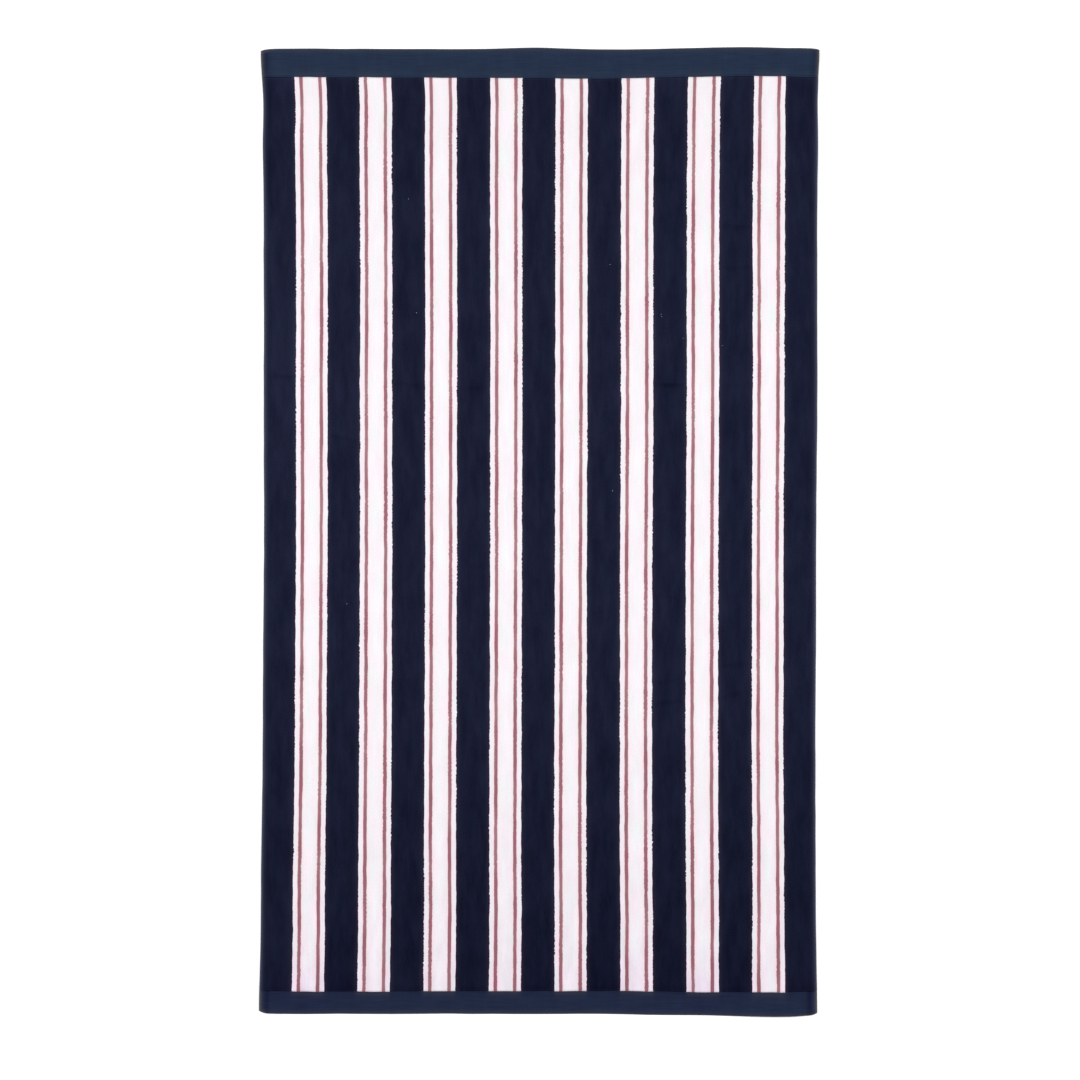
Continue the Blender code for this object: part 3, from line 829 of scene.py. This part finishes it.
def set_inputs(owner, node, inputs):
    """Links or sets a node's inputs, given by name or number, or as a plain row in their own order."""
    for name, value in inputs.items() if isinstance(inputs, dict) else enumerate(inputs):
        if isinstance(value, bpy.types.NodeSocket):
            owner.node_tree.links.new(value, node.inputs[name])
        else:
            node.inputs[name].default_value = value


def add(material, kind, output, inputs=(), **settings):
    """Adds a shader node, sets it up, links or sets its inputs, and returns one of its outputs."""
    node = material.node_tree.nodes.new("ShaderNode" + kind)
    for name, value in settings.items():
        setattr(node, name, value)
    set_inputs(material, node, inputs)
    return node.outputs[output]


def fill_ramp(output, stops):
    """Sets a colour ramp's stops, each a position from 0 to 1 and a linear colour."""
    elements = output.node.color_ramp.elements
    while len(elements) > 1:
        elements.remove(elements[-1])
    elements[0].position, elements[0].color = stops[0]
    for position, colour in stops[1:]:
        elements.new(position).color = colour


def new_cotton(name, roughness, sheen):
    """A material with the constant sockets of cotton: no metal, little gloss and a weak sheen."""
    material = bpy.data.materials.new(name)
    material.use_nodes = True
    shader = material.node_tree.nodes["Principled BSDF"]
    set_inputs(material, shader, {"Roughness": roughness, "Specular IOR Level": 0.06, "Sheen Weight": sheen,
                                  "Sheen Roughness": 0.5, "Sheen Tint": linear("#C9CCE0")})
    return material, shader


print("mid grey as linear light", [round(part, 4) for part in linear("#808080")])

# %% Strengths of lay and painted shade, mottle, painted near-end shade, and fold highlight with wear
PILE_DEPTH = linear("#191C2A")[:3]  # what lay and painted shade of 1 add to the pile, and of -1 take away
WEAVE_DEPTH = linear("#17232A")[:3]  # and to the flat weave
SHEEN_AND_WEAR_PILE = linear("#24262D")[:3]  # what fold wear and painted highlight of 1 add to dark pile
SHEEN_AND_WEAR_WEAVE = linear("#2A251C")[:3]  # and to the dark flat weave
END_SHADE_TINT = (-0.022, -0.050, -0.006)  # red, green and blue shares taken by painted shade of 1, towards lilac
PALE_SHARE = (0.22, 0.22, 0.22)  # how strongly tufts and mottle shade the colour itself, as pale yarn shows
SMUDGE = 0.6  # how much of the mottle counts there, and again as much for near-end shade of 1
CALMING = 0.35  # how much of the mottle near-end shade of 1 takes from the lay and shade
NOISE_LOW, NOISE_HIGH = 0.3, 0.7  # noise seldom goes past these values
print("lay of 1 adds", [round(part, 4) for part in PILE_DEPTH], "to the pile")

# %% [markdown]
# ## The weaver's chart
#
# The stripes are set out as on the weaver's chart: the distance from the middle of a light stripe, and
# the colour of the yarn there. The chart is folded at the stripe's middle and repeated at the pitch. Tufts
# lean over into their neighbours, so each boundary wavers by about half a millimetre, and in places a
# few tufts stray further. Red dye rubs off a little on the white beside it, and the red lines are fuller
# in some places than in others, so there are two charts, and the cloth drifts between them. Patches of
# yarn are random noise, stretched to so many patches to the metre across and along the cloth.

# %% Chart of the stripes, millimetres from the middle of a light stripe
CHART = table(
    "distance full thin",
    (0, "#F6F1F4", "#F6F1F4"),
    (9, "#F6EEF1", "#F6EEF2"),
    (11.5, "#F6EAEC", "#F6ECED"),
    (13.9, "#F6E2E6", "#F5E6E8"),
    (14.5, "#A8757F", "#DDBDC2"),
    (15.1, "#9A6670", "#A67B80"),
    (19.7, "#9A6670", "#A67B80"),
    (20.3, "#9A6670", "#E6CCD1"),
    (21, "#F5DEE4", "#F5E5E9"),
    (22.4, "#F5E6EA", "#F5E7EB"),
    (24, "#F4EAEC", "#F4EBED"),
    (26, "#F2EAF0", "#F2EBF0"),
    (28.7, "#F3EDF4", "#F3EDF4"),
    (29.2, "#2C2538", "#2C2538"),
    (32, "#262335", "#262335"),
    (35, "#1B1E32", "#1B1E32"),
    (39, "#181B30", "#181B30"),
    (59.25, "#161A2F", "#161A2F"),
)
HALF_PITCH = STRIPE_PITCH / 2
LINE_WAVER = 1.6 * MM  # how far the edge of a red line moves as its noise goes from 0 to 1
EDGE_WAVER = 2.2 * MM  # and the edge of a light stripe
LINES_END, EDGES_START = 21 * MM, 27 * MM  # from a stripe's middle, where one waver gives way to the other
FEW_STRAYS, MANY_STRAYS = 0.25, 1.5  # stray tufts in the neatest and the most ragged patches
NEAT_NOISE, RAGGED_NOISE = 0.48, 0.68  # noise in such patches
FULL_NOISE, THIN_NOISE = 0.35, 0.7  # noise where the red lines are full, and where they are thin

# Patches of yarn to the metre, across and along
LOBES = (110, 42)  # 9 by 24 mm
STRAY_TUFTS = (300, 230)  # 3.3 by 4.3 mm
RAGGED_PATCHES = (17, 11)  # 59 by 91 mm
FULLER_PATCHES = (31, 9)  # 32 by 110 mm
MOTTLE = (46, 13)  # 22 by 77 mm
STREAKS = (330, 14)  # 3 by 71 mm, single warp ends that took the dye a little differently
SLUBS = (22, 420)  # 45 by 2.4 mm, thick places in the weft
print("light stripes every", STRIPE_PITCH / MM, "mm, charted to", CHART[-1].distance, "mm")


# %% Nodes that lay the chart on the cloth
def yarn_patches(material, place, to_the_metre, detail=2, roughness=0.5):
    """Soft random patches of yarn, mostly from 0.3 to 0.7, so many to the metre across and along."""
    stretched = add(material, "Mapping", 0, {0: place, "Scale": (*to_the_metre, 1)})
    return add(material, "TexNoise", 0, {"Vector": stretched, "Scale": 1, "Detail": detail,
               "Roughness": roughness}, noise_dimensions="2D")


def chart_colour(material, place, waver_scale=1.0):
    """Colour of the yarn at a place on the flat cloth, with wavering boundaries."""
    across = add(material, "SeparateXYZ", "X", (place,))
    shifted = add(material, "Math", 0, (across, HALF_PITCH), operation="SUBTRACT")
    folded = add(material, "Math", 0, (shifted, HALF_PITCH), operation="PINGPONG")

    lobes = yarn_patches(material, place, LOBES)
    strays = yarn_patches(material, place, STRAY_TUFTS, detail=1)
    patches = yarn_patches(material, place, RAGGED_PATCHES)
    ragged = add(material, "MapRange", 0, {"Value": patches, "From Min": NEAT_NOISE,
                 "From Max": RAGGED_NOISE, "To Min": FEW_STRAYS, "To Max": MANY_STRAYS})
    size = add(material, "MapRange", 0, {"Value": folded, "From Min": LINES_END, "From Max": EDGES_START,
               "To Min": LINE_WAVER * waver_scale, "To Max": EDGE_WAVER * waver_scale})
    stray_shift = add(material, "Math", 0, (strays, 0.5), operation="SUBTRACT")
    both = add(material, "Math", 0, (stray_shift, ragged, lobes), operation="MULTIPLY_ADD")
    centred = add(material, "Math", 0, (both, 0.5), operation="SUBTRACT")
    wavered = add(material, "Math", 0, (centred, size, folded), operation="MULTIPLY_ADD")
    position = add(material, "Math", 0, (wavered, HALF_PITCH), operation="DIVIDE")

    charts = [add(material, "ValToRGB", 0, (position,)) for _ in range(2)]
    for chart, column in zip(charts, ("full", "thin")):
        fill_ramp(chart, [(stop.distance * MM / HALF_PITCH, linear(getattr(stop, column)))
                          for stop in CHART])
    drift = yarn_patches(material, place, FULLER_PATCHES)
    thinness = add(material, "MapRange", 0, {"Value": drift, "From Min": FULL_NOISE, "From Max": THIN_NOISE})
    fuller = add(material, "Attribute", "Fac", attribute_name="fuller")
    thin_share = add(material, "Math", 0, (thinness, fuller), operation="SUBTRACT", use_clamp=True)
    return add(material, "Mix", 2, {0: thin_share, 6: charts[0], 7: charts[1]}, data_type="RGBA")


def finished_yarn(material, place, colour, relief, mottle, grain, depth_colour, sheen_and_wear_colour):
    """A colour with painted shade between its tufts, its lay, painted light and shade, and worn folds."""
    lay, wear, dull = (add(material, "Attribute", "Fac", attribute_name=name)
                       for name in ("lay", "wear", "dull"))
    patches = yarn_patches(material, place, MOTTLE, detail=4, roughness=0.65)
    nap, height = (add(material, "MapRange", 0, {"Value": pattern, "From Min": NOISE_LOW,
                       "From Max": NOISE_HIGH, "To Min": -strength, "To Max": strength})
                   for pattern, strength in ((patches, mottle), (relief, grain)))
    calm = add(material, "Math", 0, (dull, -CALMING, 1.0), operation="MULTIPLY_ADD")
    leant_and_shaded = add(material, "Math", 0, (nap, calm, lay), operation="MULTIPLY_ADD")
    lean_and_shade = add(material, "Math", 0, (leant_and_shaded, height), operation="ADD")
    smudge = add(material, "Math", 0, (dull, SMUDGE, SMUDGE), operation="MULTIPLY_ADD")
    shade = add(material, "Math", 0, (nap, smudge, height), operation="MULTIPLY_ADD")
    tone = add(material, "VectorMath", 0, (shade, PALE_SHARE, (1, 1, 1)), operation="MULTIPLY_ADD")
    kept = add(material, "VectorMath", 0, (dull, END_SHADE_TINT, tone), operation="MULTIPLY_ADD")
    end_shaded = add(material, "VectorMath", 0, (colour, kept), operation="MULTIPLY")
    laid_and_shaded = add(material, "VectorMath", 0, (lean_and_shade, depth_colour, end_shaded), operation="MULTIPLY_ADD")
    return add(material, "VectorMath", 0, (wear, sheen_and_wear_colour, laid_and_shaded), operation="MULTIPLY_ADD")


print("chart has", len(CHART), "stops")

# %% [markdown]
# ## Velour, flat weave and loops
#
# The face is sheared cotton velour. Cotton pile is matt, with only a faint sheen where its tufts are seen
# from the side, so it gets a high roughness, little specular light and a weak sheen. Its surface is a
# close nap of cut tufts about 1.5 mm apart, with shade between them. Its nap is mottled in soft patches,
# and single warp ends are a little warmer or cooler than the rest, which shows as faint streaks. The
# headings are a flat weave with a fine cross rib, smoother than the pile and a lighter navy, because no
# shade gathers between tufts. The back has its loops left whole, about 2.2 mm apart, which makes the same
# stripes look softer.

# %% Sheared velour of the face
TUFT = 1.5 * MM
velour, velour_shader = new_cotton("sheared_cotton_velour", roughness=0.95, sheen=0.04)
place = add(velour, "UVMap", "UV", uv_map="cloth")
streak_tint = add(velour, "ValToRGB", 0, (yarn_patches(velour, place, STREAKS),))
fill_ramp(streak_tint, [(0.3, linear("#FFF5FC")), (0.7, linear("#F3FFFC"))])
streaked = add(velour, "Mix", 2, {0: 1.0, 6: chart_colour(velour, place), 7: streak_tint}, data_type="RGBA",
               blend_type="MULTIPLY")
tufts = add(velour, "TexNoise", 0, {"Vector": place, "Scale": 1 / TUFT, "Detail": 2}, noise_dimensions="2D")
nap_colour = finished_yarn(velour, place, streaked, tufts, mottle=0.21, grain=0.17, depth_colour=PILE_DEPTH,
                           sheen_and_wear_colour=SHEEN_AND_WEAR_PILE)
tuft_bump = add(velour, "Bump", 0, {"Height": tufts, "Strength": 0.6, "Distance": 0.5 * MM})
set_inputs(velour, velour_shader, {"Base Color": nap_colour, "Normal": tuft_bump})
print("velour has", len(velour.node_tree.nodes), "nodes")

# %% Flat weave of the headings
RIB = 1.2 * MM
WAVE_TURN = 2 * np.pi / 20  # Blender's wave texture turns once in this length at scale 1
flat_weave, flat_weave_shader = new_cotton("flat_woven_cotton_heading", roughness=0.8, sheen=0.05)
place = add(flat_weave, "UVMap", "UV", uv_map="cloth")
slub_tint = add(flat_weave, "ValToRGB", 0, (yarn_patches(flat_weave, place, SLUBS),))
fill_ramp(slub_tint, [(0.3, linear("#202C42")), (0.7, linear("#243147"))])
ribs = add(flat_weave, "TexWave", "Fac", {"Vector": place, "Scale": WAVE_TURN / RIB, "Distortion": 0.6,
           "Detail": 1}, wave_type="BANDS", bands_direction="Y")
weave_colour = finished_yarn(flat_weave, place, slub_tint, ribs, mottle=0.09, grain=0.05,
                             depth_colour=WEAVE_DEPTH, sheen_and_wear_colour=SHEEN_AND_WEAR_WEAVE)
rib_bump = add(flat_weave, "Bump", 0, {"Height": ribs, "Strength": 0.3, "Distance": 0.2 * MM})
set_inputs(flat_weave, flat_weave_shader, {"Base Color": weave_colour, "Normal": rib_bump})
print("flat weave has", len(flat_weave.node_tree.nodes), "nodes")

# %% Loops of the back
LOOP = 2.2 * MM
loops, loops_shader = new_cotton("terry_loop_back", roughness=0.95, sheen=0.06)
place = add(loops, "UVMap", "UV", uv_map="cloth")
back_yarn = chart_colour(loops, place, waver_scale=1.8)
curls = add(loops, "TexVoronoi", "Distance", {"Vector": place, "Scale": 1 / LOOP}, voronoi_dimensions="2D")
curl_height = add(loops, "Math", 0, (1.0, curls), operation="SUBTRACT")
back_colour = finished_yarn(loops, place, back_yarn, curl_height, mottle=0.2, grain=0.35,
                            depth_colour=PILE_DEPTH, sheen_and_wear_colour=SHEEN_AND_WEAR_PILE)
curl_bump = add(loops, "Bump", 0, {"Height": curl_height, "Strength": 0.7, "Distance": 0.9 * MM})
set_inputs(loops, loops_shader, {"Base Color": back_colour, "Normal": curl_bump})
print("loop back has", len(loops.node_tree.nodes), "nodes")

# %% Thread and white yarn
# Spun sewing thread is smoother than towelling, so it catches a little more light.
thread, thread_shader = new_cotton("navy_spun_sewing_thread", roughness=0.6, sheen=0.1)
set_inputs(thread, thread_shader, {"Base Color": linear("#20263A")})
for stitches in (stitches_face, stitches_back):
    stitches.data.materials.append(thread)

# The pulled loops are the white yarn of the stripes. A single one looks greyer than their close pile.
white_yarn, white_yarn_shader = new_cotton("white_cotton_yarn", roughness=0.95, sheen=0.04)
set_inputs(white_yarn, white_yarn_shader, {"Base Color": linear("#C3C5D2")})
pulled.data.materials.append(white_yarn)
print("thread and yarn:", thread.name, white_yarn.name)

# %% [markdown]
# ## Which face has which finish
#
# Each face looks up where its middle is on the flat cloth. Past the edge of the pile it is flat weave.
# The turned part of a side hem shows the velour again on the back, and the rest of the back is loops.

# %% Finishes by place
for material in (velour, flat_weave, loops):
    cloth.data.materials.append(material)

corner_count = read(cloth.data.polygons, "loop_total", int)
first_corner = read(cloth.data.polygons, "loop_start", int)


def face_means(values):
    return np.add.reduceat(values[corners], first_corner) / corner_count


on_heading = face_means(outside) > PILE_STEP / 2
on_back = (face_means(rise) < 0.1) & (face_means(side_inset) > HEM_EDGE)
finish = np.where(on_heading, 1, np.where(on_back, 2, 0))
cloth.data.polygons.foreach_set("material_index", finish.astype(np.int32))
cloth.data.update()
print("faces of velour, flat weave and loops:", np.bincount(finish))

# %% [markdown]
# ## Floor, light and camera
#
# The towel lies on a white light table, whose own glow takes the shadow out of the background, and two
# soft boxes light it evenly from the left and the right. The camera looks straight down at it, from far
# enough that the sides don't lean.

# %% Light table and the air around it
FLOOR_SIZE = 14.0
FLOOR_DROP = 0.4 * MM  # under the cloth, so that the two don't share a plane

deselect_all()
bpy.ops.mesh.primitive_plane_add(size=FLOOR_SIZE, location=(0, 0, -FLOOR_DROP))
floor = bpy.context.object
floor.name = "studio_floor"
table_top, table_top_shader = new_cotton("white_light_table", roughness=0.9, sheen=0.0)
set_inputs(table_top, table_top_shader, {"Base Color": linear("#EBEBEB"), "Emission Strength": 0.35,
                                         "Emission Color": linear("#FFFFFF")})
floor.data.materials.append(table_top)

world = bpy.data.worlds.new("studio_air")
bpy.context.scene.world = world
world.use_nodes = True
set_inputs(world, world.node_tree.nodes["Background"], {"Color": linear("#FFFFFF"), "Strength": 0.44})
print("light table", FLOOR_SIZE, "m wide")

# %% Soft boxes, metres and watts
SOFTBOXES = table(
    "name place size power",
    ("left_softbox", (-1.9, 0.25, 2.8), 1.8, 54),
    ("right_softbox", (1.9, 0.25, 2.8), 1.8, 50),
)
for box in SOFTBOXES:
    light = bpy.data.lights.new(box.name, "AREA")
    light.size = box.size
    light.energy = box.power
    lamp = bpy.data.objects.new(box.name, light)
    lamp.location = box.place
    lamp.rotation_euler = (-lamp.location).to_track_quat("-Z", "Y").to_euler()
    bpy.context.scene.collection.objects.link(lamp)
print(len(SOFTBOXES), "soft boxes")

# %% Camera
PIXELS = 1080
METRES_PER_PIXEL = 1.8116 * MM
TOWEL_MIDDLE_PIXEL = (539.15, 531.95)
LENS = 85.0
SENSOR = 36.0

camera_data = bpy.data.cameras.new("overhead_camera")
camera_data.lens = LENS
camera_data.sensor_width = SENSOR
camera = bpy.data.objects.new("overhead_camera", camera_data)
right_of_towel = (PIXELS / 2 - TOWEL_MIDDLE_PIXEL[0]) * METRES_PER_PIXEL
below_towel = (PIXELS / 2 - TOWEL_MIDDLE_PIXEL[1]) * METRES_PER_PIXEL
distance = PIXELS * METRES_PER_PIXEL * LENS / SENSOR
camera.location = (right_of_towel, -below_towel, distance)
bpy.context.scene.collection.objects.link(camera)
bpy.context.scene.camera = camera
bpy.context.scene.view_settings.view_transform = "Standard"
print("camera", round(distance, 3), "m above the towel")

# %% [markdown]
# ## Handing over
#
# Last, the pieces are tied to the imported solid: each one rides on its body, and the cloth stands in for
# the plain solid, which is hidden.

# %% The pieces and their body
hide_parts("towel")
for piece, material_slot in ((cloth, "terry"), (pulled, "terry"), (stitches_face, "sewing_thread"),
                             (stitches_back, "sewing_thread")):
    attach(piece, "root")
